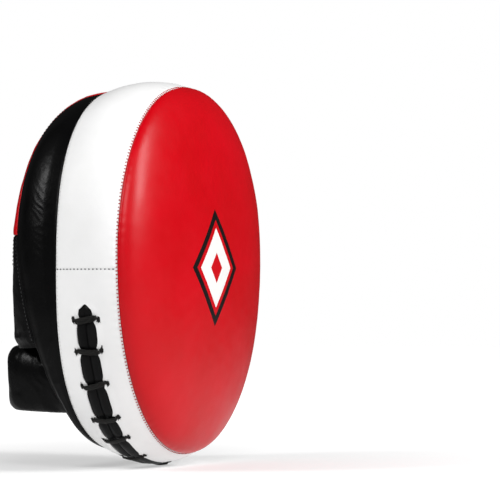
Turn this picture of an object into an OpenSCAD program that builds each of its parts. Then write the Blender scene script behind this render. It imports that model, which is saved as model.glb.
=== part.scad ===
// Round lace-up punch mitt with a padded hand pocket and a wrist cuff.
// Modelled standing on its rim: +Z towards the fingertips, the strike face looks along -Y,
// and the laced side of the wall is at -X. Lengths are in millimetres.

/* [Pad] */
// Height of the strike face along its front seam
face_height = 315; // [300:1:320]
// Width of the strike face along its front seam
face_width = 285; // [275:1:290]
// Height of the wall's rear edge
back_height = 310; // [300:1:315]
// Width of the wall's rear edge
back_width = 289; // [280:1:293]
// Depth of the side wall between its two seams
wall_depth = 55; // [50:1:60]
// How far the strike face domes out of its seam
dome_height = 35; // [25:1:45]
// How far the wall swells past its seams at the top
bulge_top = 6; // [3:0.5:8]
// How far the wall swells past its seams at the bottom
bulge_bottom = 9.5; // [6:0.5:12]
// How far the wall swells past its seams at the sides
bulge_side = 5; // [3:0.5:8]
// Thickness of the leather
leather = 1.4; // [1:0.1:1.6]

/* [Lacing] */
// Width of the open slit between two bars
slit_width = 17; // [14:0.5:18]
// Length of a lace bar from hole to hole
bar_length = 24; // [22:0.5:26]
// Width of the flat lace
lace_width = 6; // [4:0.5:7]
// Thickness of the flat lace
lace_thick = 1.8; // [1:0.1:2]

/* [Hand pocket] */
// Height of the hand cover above the back panel
pocket_depth = 68; // [62:1:75]
// Thickness of the padding in the hand cover
cover_padding = 8; // [5:0.5:9]
// Height of the palm grip above the back panel
grip_height = 24; // [16:1:26]
// Radius of the palm grip at its foot
grip_radius = 38; // [30:1:40]

/* [Wrist cuff] */
// Width of the cuff
cuff_width = 196; // [180:1:198]
// Height of the cuff above the back panel
cuff_depth = 81; // [79:1:90]
// Length of the cuff along the wrist
cuff_length = 61; // [50:1:62]
// Width of the wrist opening
opening_width = 140; // [138:1:144]
// Thickness of the cuff behind the wrist
cuff_thick = 22; // [18:1:24]

/* [Wrist strap] */
// Width of the strap
strap_width = 38; // [30:1:45]
// Length of the free part of the strap
strap_length = 100; // [80:1:110]
// Thickness of the strap
strap_thick = 2.2; // [1.5:0.1:3]

/* [Hidden] */
$fn = 64;

RED = "#d8121c";
WHITE = "#f0f1f0";
BLACK = "#1c1c1e";
FOAM = "#e6dcc0";
LINING = "#2c2d31";

// Squareness of the front seam and of the wall's rear edge, where 2 is an ellipse
front_power = 2.12;
rear_power = 2.55;
// How much wider the front seam is above its middle
front_taper = 0.04;
front_y = -wall_depth / 2;
back_y = wall_depth / 2;
step_angle = 6;
full_turn = [for (a = [0:step_angle:360 - step_angle]) a];
fit_gap = 0.3;
dome_steps = [1, 0.975, 0.92, 0.81, 0.64, 0.42, 0.17];

// Foam layers, from the front seam back to the board and the palm side
impact_y = -8;
shock_y = 12;
board_y = 15.5;
wadding = 9;
wadding_gap = 1.2;
core_inset = leather + wadding + 2 * fit_gap;

// The wall's two panels meet at the sides, level with the middle of the pad
slit_start = 192;
slit_end = 276;
slit_end_gap = 4;
bar_angles = [196, 206, 217, 229.5, 239, 252, 270];
hole_depth = 6.5;
hole_y = (bar_length - lace_thick) / 2;
run_depth = 4.2;
lace_lift = 0.3;

// Hand cover
cover_power = 3;
crown_power = 2.2;
cover_split = 32;
ridge_depth = 49;
ridge_fade = 9;
gusset_tip = 146;
gusset_foot = -152;
// Level and height of the ridge below the split
ridge_marks = [[gusset_foot, 4], [-117, 9], [17, 43.2], [cover_split, ridge_depth]];
patch_thick = 1.5;
lining_gap = 1.5;
lining_start = 0.1;
grip_z = -10;

// Wrist cuff
cuff_top = -60.5;
cuff_foot = cuff_top - cuff_length;
cuff_corner = 26;
opening_corner = 16;
cuff_mid = (cuff_top + cuff_foot) / 2;

// Wrist strap, stacked on the cuff's rear face
patch = 1.2;
cuff_rear = back_y + cuff_depth;
strap_y = cuff_rear + 2 * patch + fit_gap;
strap_root = 52;
anchor_length = 18;

// The origin is at the middle of the lowest point's level
face_tip = front_y - dome_height;
rear_tip = strap_y + strap_thick;
lowest_bar_tilt = (face_height - back_height) / 4 * bar_length / wall_depth;
foot = -(face_height + back_height) / 4 - bulge_bottom - lowest_bar_tilt - lace_lift - lace_thick;
home = [0, -(face_tip + rear_tip) / 2, -foot];

// Distance from the pad's axis to its outline at angle a, where s is 0 at the front seam and 1 at the rear
function outline(a, s) =
    let (n = front_power + (rear_power - front_power) * s,
         w = (face_width + (back_width - face_width) * s) / 2,
         h = (face_height + (back_height - face_height) * s) / 2)
    pow(pow(abs(cos(a)) / w, n) + pow(abs(sin(a)) / h, n), -1 / n)
        * (1 + front_taper * (1 - s) * sin(a) * pow(cos(a), 2));

// How far the wall swells at angle a
function bulge(a) =
    bulge_side + ((sin(a) > 0 ? bulge_top : bulge_bottom) - bulge_side) * pow(sin(a), 2);

// A point d inside the wall's surface
function wall_point(a, y, d) =
    let (s = y / wall_depth + 0.5, r = outline(a, s) + bulge(a) * 4 * s * (1 - s) - d)
    [r * cos(a), y, r * sin(a)];

// A list of numbers in rising order
function sorted(v) =
    len(v) < 2 ? v
    : let (pivot = v[floor(len(v) / 2)])
    concat(sorted([for (x = v) if (x < pivot) x]),
           [for (x = v) if (x == pivot) x],
           sorted([for (x = v) if (x > pivot) x]));

// Angles from one end of an arc to the other
function arc_angles(from, to) =
    let (count = ceil((to - from) / step_angle))
    [for (i = [0:count]) from + (to - from) * i / count];

// A ring round the dome, f of the way out to the seam, d inside the surface
function dome_ring(f, d) =
    [for (a = full_turn)
        let (r = (outline(a, 0) - d) * f)
        [r * cos(a), front_y - (dome_height - d) * sqrt(1 - f * f), r * sin(a)]];

// Half-width and height of the hand cover at level z, d inside its surface
function cover_fill(z, d, power) =
    pow(max(0, 1 - pow(abs(z) / (back_height / 2 - d), power)), 1 / power);
function cover_half(z, d) = (back_width / 2 - d) * cover_fill(z, d, rear_power);
function cover_rise(z, d) = (pocket_depth - d) * (z > 0 ? cover_fill(z, d, crown_power) : 1);
function cover_point(u, z, d) =
    [-cover_half(z, d) * sign(cos(u)) * pow(abs(cos(u)), 2 / cover_power),
     back_y + cover_rise(z, d) * pow(sin(u), 2 / cover_power), z];

// Levels of a cover layer. Those from the wrist to the split and on to the gusset's tip are shared by
// neighbours, so that their edges meet, and they come closer together near the top
function wrist_levels() = [for (i = [0:3]) cuff_top + (cover_split - cuff_top) * i / 4];
function gusset_levels() = [for (i = [0:6]) cover_split + (gusset_tip - cover_split) * sin(15 * i)];
function tip_levels(last) = [for (v = [0.97, 0.985, 0.995, last]) v * back_height / 2];

// The same levels d inside the surface
function sunk(levels, d) =
    let (reach = back_height / 2 - cover_split)
    [for (z = levels) cover_split + (z - cover_split) * (reach - d) / reach];

// Height of the ridge between a gusset and the panels behind the hand
function ridge(z) =
    z > gusset_tip ? 0
    : z > cover_split
    ? ridge_depth * cover_fill(z, 0, crown_power) * min(1, (gusset_tip + 1 - z) / ridge_fade)
    : lookup(z, ridge_marks);
function ridge_angle(z) = asin(pow(ridge(z) / cover_rise(z, 0), cover_power / 2));

// One level of a cover layer between two angles, as a closed ring: its outer arc, then its inner arc back
function cover_ring(u0, u1, z_out, z_in, d_out, d_in, count) =
    concat([for (i = [count:-1:0]) cover_point(u0 + (u1 - u0) * i / count, z_out, d_out)],
           [for (i = [0:count]) cover_point(u0 + (u1 - u0) * i / count, z_in, d_in)]);

// A closed solid through a list of rings that have the same even number of points. The cells of the ring's
// second half are split the other way, so that a layer's inner side matches the next layer's outer side.
// Each end is closed by a strip of triangles between the ring's two halves
module loft(rings) {
    n = len(rings[0]);
    m = len(rings);
    end = [for (j = [0:n / 2 - 2]) each [[j, j + 1, n - 1 - j], [j + 1, n - 2 - j, n - 1 - j]]];
    polyhedron(
        points = [for (r = rings) each r],
        faces = concat(
            end,
            [for (i = [0:m - 2], j = [0:n - 1])
                let (k = (j + 1) % n, a = i * n + j, b = i * n + k, c = a + n, d = b + n)
                each j < n / 2 ? [[a, c, b], [b, c, d]] : [[a, c, d], [a, d, b]]],
            [for (f = end) [for (i = [2:-1:0]) (m - 1) * n + f[i]]]));
}

// A sheet between two grids of points, without the cells that are marked as holes
module pierced_sheet(outer, inner, holes) {
    rows = len(outer);
    cols = len(outer[0]);
    n = rows * cols;
    function at(i, j) = i * cols + j;
    function shut(i, j) = i >= 0 && j >= 0 && i < rows - 1 && j < cols - 1 && !holes[i][j];
    polyhedron(
        points = [for (r = concat(outer, inner)) each r],
        faces = [for (i = [0:rows - 2], j = [0:cols - 2]) if (shut(i, j))
            let (v = [at(i, j), at(i + 1, j), at(i + 1, j + 1), at(i, j + 1)],
                 beside = [[i, j - 1], [i + 1, j], [i, j + 1], [i - 1, j]])
            each concat(
                [[v[0], v[1], v[2]], [v[0], v[2], v[3]],
                 [n + v[2], n + v[1], n + v[0]], [n + v[3], n + v[2], n + v[0]]],
                [for (e = [0:3]) if (!shut(beside[e][0], beside[e][1]))
                    let (a = v[e], b = v[(e + 1) % 4])
                    each [[b, a, n + a], [b, n + a, n + b]]])]);
}

// A strip of the wall from one angle to another. The section lists [y, depth inside the surface]
module wall_strip(from, to, section) {
    loft([for (a = arc_angles(from, to)) [for (p = section) wall_point(a, p[0], p[1])]]);
}

// The section of a skin that follows the wall between two depths
function skin_section(y0, y1, d0, d1) =
    concat([for (i = [0:4]) [y0 + (y1 - y0) * i / 4, d0]],
           [for (i = [4:-1:0]) [y0 + (y1 - y0) * i / 4, d1]]);

// A foam layer between two levels of y
module core_layer(y0, y1) {
    loft([for (y = [y1, y0])
        [for (a = full_turn)
            let (r = outline(a, y / wall_depth + 0.5) - core_inset)
            [r * cos(a), y, r * sin(a)]]]);
}

// Everything is drawn about the pad's middle and moved to the origin here
module placed() {
    translate(home) children();
}

module strike_face() {
    color(RED) placed() loft(concat(
        [for (i = [len(dome_steps) - 1:-1:0]) dome_ring(dome_steps[i], leather)],
        [for (f = dome_steps) dome_ring(f, 0)]));
}

module face_padding() {
    color(FOAM) placed() loft([for (f = dome_steps) dome_ring(f, leather + fit_gap)]);
}

module impact_foam() {
    color("#8f9aa3") placed() core_layer(front_y, impact_y);
}

module shock_foam() {
    color("#4a4f57") placed() core_layer(impact_y, shock_y);
}

module backing_board() {
    color("#b98b58") placed() core_layer(shock_y, board_y);
}

module palm_side_foam() {
    color(FOAM) placed() core_layer(board_y, back_y - leather - fit_gap);
}

module edge_wadding() {
    section = skin_section(front_y + fit_gap, back_y - leather - fit_gap,
                           leather + wadding_gap, leather + wadding);
    color("#cfc8b8") placed() wall_strip(slit_end + slit_end_gap, slit_start - slit_end_gap + 360, section);
}

module side_wall_upper() {
    color(WHITE) placed() wall_strip(0, 180, skin_section(front_y, back_y, 0, leather));
}

module side_wall_lower() {
    hole_turn = (lace_width / 2 + 2 * fit_gap) / (back_width / 2) * 180 / PI;
    hole_half = lace_thick / 2 + 2 * fit_gap;
    edges = [slit_width / 2, hole_y - hole_half, hole_y + hole_half, (back_y + hole_y) / 2, back_y];
    ys = concat([for (k = [4:-1:0]) -edges[k]], edges);
    plain = [for (a = arc_angles(180, 360))
        if (min([for (b = concat(bar_angles, [slit_start, slit_end])) abs(a - b)]) > 2 * hole_turn) a];
    turns = sorted(concat(plain, [slit_start, slit_end],
                          [for (b = bar_angles) each [b - hole_turn, b + hole_turn]]));
    function at_bar(a) = min([for (b = bar_angles) abs(a - b)]) < hole_turn;
    function in_slit(a) = a > slit_start && a < slit_end;
    holes = [for (i = [0:len(turns) - 2])
        let (a = (turns[i] + turns[i + 1]) / 2)
        [for (j = [0:len(ys) - 2])
            let (y = abs(ys[j] + ys[j + 1]) / 2)
            y < slit_width / 2 ? in_slit(a) : at_bar(a) && abs(y - hole_y) < hole_half]];
    color(WHITE) placed() pierced_sheet(
        [for (a = turns) [for (y = ys) wall_point(a, y, 0)]],
        [for (a = turns) [for (y = ys) wall_point(a, y, leather)]],
        holes);
}

// A rolled leather facing under one edge of the slit, side is -1 in front and 1 behind
module lace_facing(side) {
    roll = [[0.2, 3], [1.5, 1], [4.3, 0.3], [6.8, 0.9], [7.8, leather + 0.5], [8.8, leather + 1.2],
            [8.8, 5], [0.2, 6]];
    section = [for (p = roll) [side * p[0], p[1]]];
    turned = side > 0 ? section : [for (i = [len(section) - 1:-1:0]) section[i]];
    color(BLACK) placed() wall_strip(slit_start + 0.5, slit_end - 0.5, turned);
}

module lace_facing_front() {
    lace_facing(-1);
}

module lace_facing_rear() {
    lace_facing(1);
}

// Stands children on the wall at angle a, with X along the outline, Y from a bar's front hole to its rear
// hole and Z outward
module on_wall(a) {
    run = wall_point(a + 2, 0, 0) - wall_point(a - 2, 0, 0);
    climb = norm(wall_point(a, bar_length / 2, 0)) - norm(wall_point(a, -bar_length / 2, 0));
    translate(wall_point(a, 0, 0)) rotate([0, atan2(run[2], -run[0]), 0])
        rotate([atan2(climb, bar_length), 0, 0]) children();
}

// One bar of the lace, with a leg at each end that dives through a hole in the wall
module lace_bar(a) {
    half = bar_length / 2;
    top = lace_lift + lace_thick;
    shape = [[-half, -hole_depth], [-half, top], [half, top], [half, -hole_depth],
             [half - lace_thick, -hole_depth], [half - lace_thick, lace_lift],
             [lace_thick - half, lace_lift], [lace_thick - half, -hole_depth]];
    on_wall(a) translate([-lace_width / 2, 0, 0]) rotate([90, 0, 90])
        linear_extrude(lace_width) polygon(shape);
}

// The run of lace inside the wall from one bar's leg to the next, a little slimmer than the legs
module lace_run(a0, a1, side) {
    p = wall_point(a0, side * hole_y, run_depth);
    q = wall_point(a1, side * hole_y, run_depth);
    run = q - p;
    slim = 0.8 * lace_thick;
    translate([p[0], side * hole_y, p[2]])
        rotate([0, -atan2(run[2], run[0]), 0])
        translate([0, -slim / 2, -slim / 2])
        cube([norm(run), slim, slim]);
}

module lace() {
    last = len(bar_angles) - 1;
    color("#26262a") placed() union() {
        for (a = bar_angles) lace_bar(a);
        for (i = [0:last - 1]) lace_run(bar_angles[i], bar_angles[i + 1], i % 2 == 0 ? 1 : -1);
    }
}

module back_panel() {
    rim = [for (a = full_turn)
        let (r = outline(a, 1) - leather - fit_gap)
        [r * cos(a), r * sin(a)]];
    color(BLACK) placed() translate([0, back_y, 0]) rotate([90, 0, 0])
        linear_extrude(leather) polygon(rim);
}

module palm_lining() {
    half = 100;
    top = 95;
    corner = 55;
    tongue = opening_width / 2 - 3;
    color(LINING) placed() translate([0, back_y + patch_thick, 0]) rotate([90, 0, 0])
        linear_extrude(patch_thick) difference() {
            union() {
                translate([-half, cuff_top + 3]) square([2 * half, top - corner - cuff_top - 3]);
                translate([corner - half, 0]) square([2 * (half - corner), top]);
                for (x = [-1, 1]) translate([x * (half - corner), top - corner]) circle(r = corner);
                translate([-tongue, cuff_foot + 3]) square([2 * tongue, cuff_length + 20]);
            }
            translate([0, grip_z]) circle(r = grip_radius + fit_gap);
        }
}

module palm_grip() {
    ball = (grip_radius * grip_radius + grip_height * grip_height) / (2 * grip_height);
    color(BLACK) placed() translate([0, back_y, grip_z]) intersection() {
        translate([0, grip_height - ball, 0]) sphere(r = ball);
        translate([-ball, 0, -ball]) cube(2 * ball);
    }
}

// A layer of the hood from the split up to the fingertips, between two depths inside the surface
module hood_layer(d_out, d_in, last_out, last_in) {
    levels = concat(gusset_levels(), tip_levels(last_out));
    outer = sunk(levels, d_out);
    inner = sunk(concat(gusset_levels(), tip_levels(last_in)), d_in);
    loft([for (i = [0:len(levels) - 1])
        let (u = ridge_angle(levels[i]))
        cover_ring(u, 180 - u, outer[i], inner[i], d_out, d_in, 16)]);
}

module hood_panel() {
    color(RED) placed() hood_layer(0, leather, 0.9985, 0.9995);
}

module hood_padding() {
    color(FOAM) placed() hood_layer(leather, leather + cover_padding, 0.9995, 0.9999);
}

// A layer of the cover behind the hand, from the wrist up to the hood
module dorsal_layer(d_out, d_in) {
    loft([for (z = concat(wrist_levels(), [cover_split]))
        let (u = ridge_angle(z))
        cover_ring(u, 180 - u, z, z, d_out, d_in, 16)]);
}

module dorsal_panel() {
    color(BLACK) placed() dorsal_layer(0, leather);
}

module dorsal_padding() {
    color(FOAM) placed() dorsal_layer(leather, leather + cover_padding);
}

module pocket_lining() {
    d = leather + cover_padding + lining_gap;
    levels = concat(gusset_levels(), tip_levels(0.998));
    outer = concat(wrist_levels(), sunk(levels, d));
    inner = concat(wrist_levels(), sunk(levels, d + patch));
    color(LINING) placed() loft([for (i = [0:len(outer) - 1])
        cover_ring(lining_start, 180 - lining_start, outer[i], inner[i], d, d + patch, 24)]);
}

// A layer of a gusset from the wrist, or from levels below it, up to the fingertips
module gusset_layer(d_out, d_in, foot_levels) {
    low = concat(foot_levels, wrist_levels());
    levels = concat(low, gusset_levels());
    outer = concat(low, sunk(gusset_levels(), d_out));
    inner = concat(low, sunk(gusset_levels(), d_in));
    loft([for (i = [0:len(levels) - 1])
        cover_ring(0, ridge_angle(levels[i]), outer[i], inner[i], d_out, d_in, 7)]);
}

// The gusset's leather, which runs on beside the cuff
module gusset_skin() {
    gusset_layer(0, leather, [for (i = [0:3]) gusset_foot + (cuff_top - gusset_foot) * i / 4]);
}

module gusset_pinky() {
    color(BLACK) placed() gusset_skin();
}

module gusset_thumb() {
    color(BLACK) placed() mirror([1, 0, 0]) gusset_skin();
}

module gusset_padding_pinky() {
    color(FOAM) placed() gusset_layer(leather, leather + cover_padding, []);
}

module gusset_padding_thumb() {
    color(FOAM) placed() mirror([1, 0, 0]) gusset_layer(leather, leather + cover_padding, []);
}

// An arch that stands on the back panel, with its two far corners rounded. It runs on below its foot to cut
// through something
module arch(half, rise, corner, below) {
    translate([-half, -below]) square([2 * half, rise - corner + below]);
    translate([corner - half, 0]) square([2 * (half - corner), rise]);
    for (x = [-1, 1]) translate([x * (half - corner), rise - corner]) circle(r = corner);
}

// The wrist opening, let out by grow
module opening(grow, below = 0) {
    arch(opening_width / 2 + grow, cuff_depth - cuff_thick + grow, opening_corner + grow, below);
}

module cuff_outline(inset, below = 0) {
    arch(cuff_width / 2 - inset, cuff_depth - inset, cuff_corner - inset, below);
}

module wrist_cuff() {
    color(BLACK) placed() translate([0, back_y, cuff_foot]) difference() {
        linear_extrude(cuff_length) difference() {
            cuff_outline(0);
            opening(0, 1);
        }
        translate([0, 0, leather]) linear_extrude(cuff_length - 2 * leather) cuff_outline(leather, 1);
    }
}

module cuff_padding() {
    color(FOAM) placed() translate([0, back_y, cuff_foot + leather])
        linear_extrude(cuff_length - 2 * leather) difference() {
            cuff_outline(leather);
            opening(patch, 1);
        }
}

module cuff_lining() {
    color(LINING) placed() translate([0, back_y, cuff_foot + leather])
        linear_extrude(cuff_length - 2 * leather) difference() {
            opening(patch);
            opening(0, 1);
        }
}

// A flat strip on the cuff's rear face, centred on the cuff's height
module strip(x0, x1, y0, thick, width) {
    translate([x0, y0, cuff_mid - width / 2]) cube([x1 - x0, thick, width]);
}

module strap_anchor() {
    color(BLACK) placed()
        strip(strap_root + fit_gap, strap_root + anchor_length, cuff_rear,
              rear_tip - cuff_rear, strap_width);
}

module wrist_strap() {
    radius = strap_width / 2;
    color(BLACK) placed() union() {
        strip(strap_root - strap_length + radius, strap_root - fit_gap, strap_y, strap_thick,
              strap_width);
        translate([strap_root - strap_length + radius, strap_y, cuff_mid]) rotate([-90, 0, 0])
            cylinder(r = radius, h = strap_thick);
    }
}

module hook_patch() {
    color("#303034") placed()
        strip(strap_root - strap_length + 16, strap_root - strap_length + 56,
              strap_y - patch, patch, strap_width - 10);
}

module loop_patch() {
    color("#3a3a3e") placed()
        strip(strap_root - strap_length - 10, strap_root - 40, cuff_rear, patch, strap_width - 4);
}

strike_face();
face_padding();
impact_foam();
shock_foam();
backing_board();
palm_side_foam();
edge_wadding();
side_wall_upper();
side_wall_lower();
lace_facing_front();
lace_facing_rear();
lace();
back_panel();
palm_lining();
palm_grip();
hood_panel();
hood_padding();
dorsal_panel();
dorsal_padding();
pocket_lining();
gusset_pinky();
gusset_thumb();
gusset_padding_pinky();
gusset_padding_thumb();
wrist_cuff();
cuff_padding();
cuff_lining();
strap_anchor();
wrist_strap();
hook_patch();
loop_patch();
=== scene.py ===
import math

import bmesh
import bpy
import numpy as np
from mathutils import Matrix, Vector


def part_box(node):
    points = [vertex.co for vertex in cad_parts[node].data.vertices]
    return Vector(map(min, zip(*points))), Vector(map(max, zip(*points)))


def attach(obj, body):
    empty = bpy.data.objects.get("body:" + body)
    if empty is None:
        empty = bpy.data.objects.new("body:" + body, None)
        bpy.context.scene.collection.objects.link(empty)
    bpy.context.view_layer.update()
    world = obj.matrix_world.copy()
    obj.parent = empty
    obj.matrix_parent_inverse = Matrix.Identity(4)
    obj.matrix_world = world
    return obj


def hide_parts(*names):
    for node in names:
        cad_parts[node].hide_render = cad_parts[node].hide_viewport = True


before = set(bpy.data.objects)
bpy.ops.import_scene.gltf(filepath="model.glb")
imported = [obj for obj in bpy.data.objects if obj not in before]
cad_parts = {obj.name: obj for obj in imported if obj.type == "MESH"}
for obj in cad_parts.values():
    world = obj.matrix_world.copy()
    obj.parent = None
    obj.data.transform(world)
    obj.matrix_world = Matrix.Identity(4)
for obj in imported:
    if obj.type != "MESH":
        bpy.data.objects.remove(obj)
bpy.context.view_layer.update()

MM = 0.001
rng = np.random.default_rng(7)

# ---- Places from the frame, and the pad's own sizes in millimetres about the middle of the pad
front_seam_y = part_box("strike_face")[1].y
rear_seam_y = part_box("back_panel")[1].y
pad_middle = Vector((
    0.0,
    (front_seam_y + rear_seam_y) / 2,
    (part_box("back_panel")[0].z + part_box("back_panel")[1].z) / 2,
))
HALF_DEPTH = (rear_seam_y - front_seam_y) / 2 / MM
DOME = (front_seam_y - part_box("strike_face")[0].y) / MM
LEATHER = 1.4

# The outline at the front seam and at the rear seam, and how far the wall bulges between them
FACE_W, FACE_H, FACE_POWER, FACE_TAPER = 285.0, 315.0, 2.12, 0.04
BACK_W, BACK_H, BACK_POWER = 289.0, 310.0, 2.55
BULGE_SIDE, BULGE_TOP, BULGE_LOW = 5.0, 6.0, 9.5

# The laced slit and the bars across it, as angles round the pad; arcs are millimetres for each degree
SLIT_START, SLIT_END, SLIT_HALF = 192.0, 276.0, 8.9
BARS = np.array([196, 206, 217, 229.5, 239, 252, 270.0])
BAR_LEANS = (0.7, -0.5, 0.6, -0.6, 0.5, -0.4, 0.5)
BAR_HALF = 10.6
SLIT_ARC, SIDE_ARC, MEAN_RADIUS = 2.62, 2.52, 150
LINING_THICK = 1.0

# The hand cover: its section and crown, the level where red gives way to black, and the ridges' heights
COVER_POWER, CROWN_POWER, SPLIT, RISE = 3.0, 2.2, 32.0, 68.0
RIDGE_FADE, GUSSET_TIP, GUSSET_FOOT = 5.0, 151.5, -152.4
RIDGE_MARKS = ((GUSSET_FOOT, 3.0), (-117.0, 9.0), (17.0, 43.2), (SPLIT, 45.5), (72.0, 49.0))

# The wrist opening and the roll round it
OPEN_HALF, OPEN_CORNER, CUFF_CORNER, CUFF_THICK = 70.0, 16.0, 26.0, 22.0


def to_row(points):
    """Points in millimetres about the pad's middle, in metres in the row frame."""
    return np.asarray(points, float) * MM + np.array(pad_middle)


def node_box(name):
    """The low and high corner of a node's box, in millimetres about the pad's middle."""
    return [np.array((corner - pad_middle) / MM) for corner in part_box(name)]


cuff_low, cuff_high = node_box("wrist_cuff")


# ---- The pad's surfaces, in millimetres about its middle
def outline(a, s):
    """Distance from the pad's axis to its outline at angle a; s runs from the front seam to the rear one."""
    r = np.radians(a)
    n = FACE_POWER + (BACK_POWER - FACE_POWER) * s
    w = (FACE_W + (BACK_W - FACE_W) * s) / 2
    h = (FACE_H + (BACK_H - FACE_H) * s) / 2
    reach = ((np.abs(np.cos(r)) / w) ** n + (np.abs(np.sin(r)) / h) ** n) ** (-1 / n)
    return reach * (1 + FACE_TAPER * (1 - s) * np.sin(r) * np.cos(r) ** 2)


def bulge(a):
    r = np.radians(a)
    end = np.where(np.sin(r) > 0, BULGE_TOP, BULGE_LOW)
    return BULGE_SIDE + (end - BULGE_SIDE) * np.sin(r) ** 2


def wall_point(a, y, deep=0.0):
    s = y / (2 * HALF_DEPTH) + 0.5
    reach = outline(a, s) + bulge(a) * 4 * s * (1 - s) - deep
    r = np.radians(a)
    return np.stack([reach * np.cos(r), y + 0 * reach, reach * np.sin(r)], -1)


def cover_fill(z, deep=0.0, power=BACK_POWER):
    return np.maximum(0, 1 - (np.abs(z) / (BACK_H / 2 - deep)) ** power) ** (1 / power)


def cover_rise(z, deep=0.0):
    return (RISE - deep) * np.where(z > 0, cover_fill(z, deep, CROWN_POWER), 1)


def outward(a):
    """The way out of the pad at angle a."""
    r = np.radians(a)
    return np.stack([np.cos(r), 0 * r, np.sin(r)], -1)


def cover_point(u, z, deep=0.0):
    """A point of the hand cover: u runs from 0 at the laced side over the back of the hand to 180."""
    r = np.radians(u)
    across = np.sign(np.cos(r)) * np.abs(np.cos(r)) ** (2 / COVER_POWER)
    x = -(BACK_W / 2 - deep) * cover_fill(z, deep) * across
    y = HALF_DEPTH + cover_rise(z, deep) * np.clip(np.sin(r), 0, 1) ** (2 / COVER_POWER)
    return np.stack([x, y, z + 0 * x], -1)


def ridge_angle(z):
    fade = cover_fill(z, power=CROWN_POWER) * np.clip((GUSSET_TIP + 1 - z) / RIDGE_FADE, 0, 1)
    height = np.interp(z, *np.array(RIDGE_MARKS).T) * np.where(z > SPLIT, fade, 1)
    share = np.clip(height / np.maximum(cover_rise(z), 1e-6), 0, 1)
    return np.degrees(np.arcsin(share ** (COVER_POWER / 2)))


# ---- Noise, for shapes
def waves(points, size, seed, octaves=3):
    """Smooth noise between about -1 and 1 at points in millimetres, with features of that size."""
    r = np.random.default_rng(seed)
    total = np.zeros(points.shape[:-1])
    weight = 0.0
    for octave in range(octaves):
        scale = 2 * math.pi / (size / 1.9 ** octave)
        part = 0
        for _ in range(7):
            way = r.normal(size=3)
            way = way / np.linalg.norm(way) * scale * r.uniform(0.6, 1.2)
            part += np.sin(points @ way + r.uniform(0, 6.28))
        total += part / 7 * 0.55 ** octave
        weight += 0.55 ** octave / 2
    return total / weight


def creases(points, size, seed, way, stretch=4.0):
    """Long narrow folds that run along the direction way: sharp valleys between soft rolls."""
    way = np.asarray(way, float)
    way = way / np.linalg.norm(way)
    along = (points @ way)[..., None] * way
    squeezed = points - along * (1 - 1 / stretch)
    bent = squeezed + 0.35 * size * np.stack([waves(points, size * 3, seed + k, 2) for k in (1, 2, 3)], -1)
    return 1 - 2 * np.abs(waves(bent, size, seed, 2)) ** 0.8


def bump(x, width):
    return np.exp(-(x / width) ** 2)


def ramp(x, low, high):
    t = np.clip((x - low) / (high - low), 0, 1)
    return t * t * (3 - 2 * t)


def graded(marks, counts):
    """Values from the first mark to the last, with a count of its own for each stretch between two marks."""
    runs = [np.linspace(a, b, n)[:-1] for a, b, n in zip(marks, marks[1:], counts)]
    return np.append(np.concatenate(runs), marks[-1])


def unit(vectors):
    return vectors / np.maximum(np.linalg.norm(vectors, axis=-1, keepdims=True), 1e-9)


# ---- Meshes
def mesh_object(name, points, faces, material):
    """A mesh object from points in millimetres about the pad's middle."""
    mesh = bpy.data.meshes.new(name)
    mesh.from_pydata([tuple(p) for p in to_row(points)], [], [tuple(int(i) for i in f) for f in faces])
    mesh.materials.append(material)
    for poly in mesh.polygons:
        poly.use_smooth = True
    obj = bpy.data.objects.new(name, mesh)
    bpy.context.scene.collection.objects.link(obj)
    return obj


def grid_faces(rows, cols, wrap_rows=False, wrap_cols=False, start=0):
    """The quads between the points of a grid that is numbered row by row from start."""
    i, j = np.meshgrid(np.arange(rows - (not wrap_rows)), np.arange(cols - (not wrap_cols)), indexing="ij")
    i, j = i.ravel(), j.ravel()
    k, m = (i + 1) % rows, (j + 1) % cols
    return np.stack([i * cols + j, k * cols + j, k * cols + m, i * cols + m], 1) + start


def tube_faces(rows, cols):
    """The quads round a tube of closed rows, and the two faces that close its ends."""
    ends = [list(range(cols)), [(rows - 1) * cols + q for q in range(cols - 1, -1, -1)]]
    return grid_faces(rows, cols, wrap_cols=True).tolist() + ends


def grid_object(name, points, material, wrap_rows=False, flip=False):
    faces = grid_faces(*points.shape[:2], wrap_rows)
    if flip:
        faces = faces[:, ::-1]
    return mesh_object(name, points.reshape(-1, 3), faces, material)


def clean(obj, distance=1e-6):
    """Merges points that lie on each other and turns the faces outward."""
    bm = bmesh.new()
    bm.from_mesh(obj.data)
    bmesh.ops.remove_doubles(bm, verts=bm.verts, dist=distance)
    bmesh.ops.recalc_face_normals(bm, faces=bm.faces)
    bm.to_mesh(obj.data)
    bm.free()
    return obj


def thicken(obj, thickness, offset=-1.0):
    mod = obj.modifiers.new("thickness", "SOLIDIFY")
    mod.thickness = thickness * MM
    mod.offset = offset
    return obj


def stand_in(obj, slot, *nodes, body="mitt", fill=None):
    """Lets a piece stand for nodes of the frame by hiding them, and puts it on a body; slot and fill are not
    used.
    """
    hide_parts(*nodes)
    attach(obj, body)


def normals_of(points):
    """Unit normals of a grid of points."""
    return unit(np.cross(np.gradient(points, axis=0), np.gradient(points, axis=1)))


def along_path(path, pitch):
    """Points and unit directions every pitch millimetres along a path."""
    run = np.concatenate([[0], np.cumsum(np.linalg.norm(np.diff(path, axis=0), axis=1))])
    at = np.arange(0.5 * pitch, run[-1], pitch)
    spots, ahead, back = (np.stack([np.interp(at + shift * pitch, run, path[:, k]) for k in range(3)], 1)
                          for shift in (0, 0.4, -0.4))
    return spots, unit(ahead - back)


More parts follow.
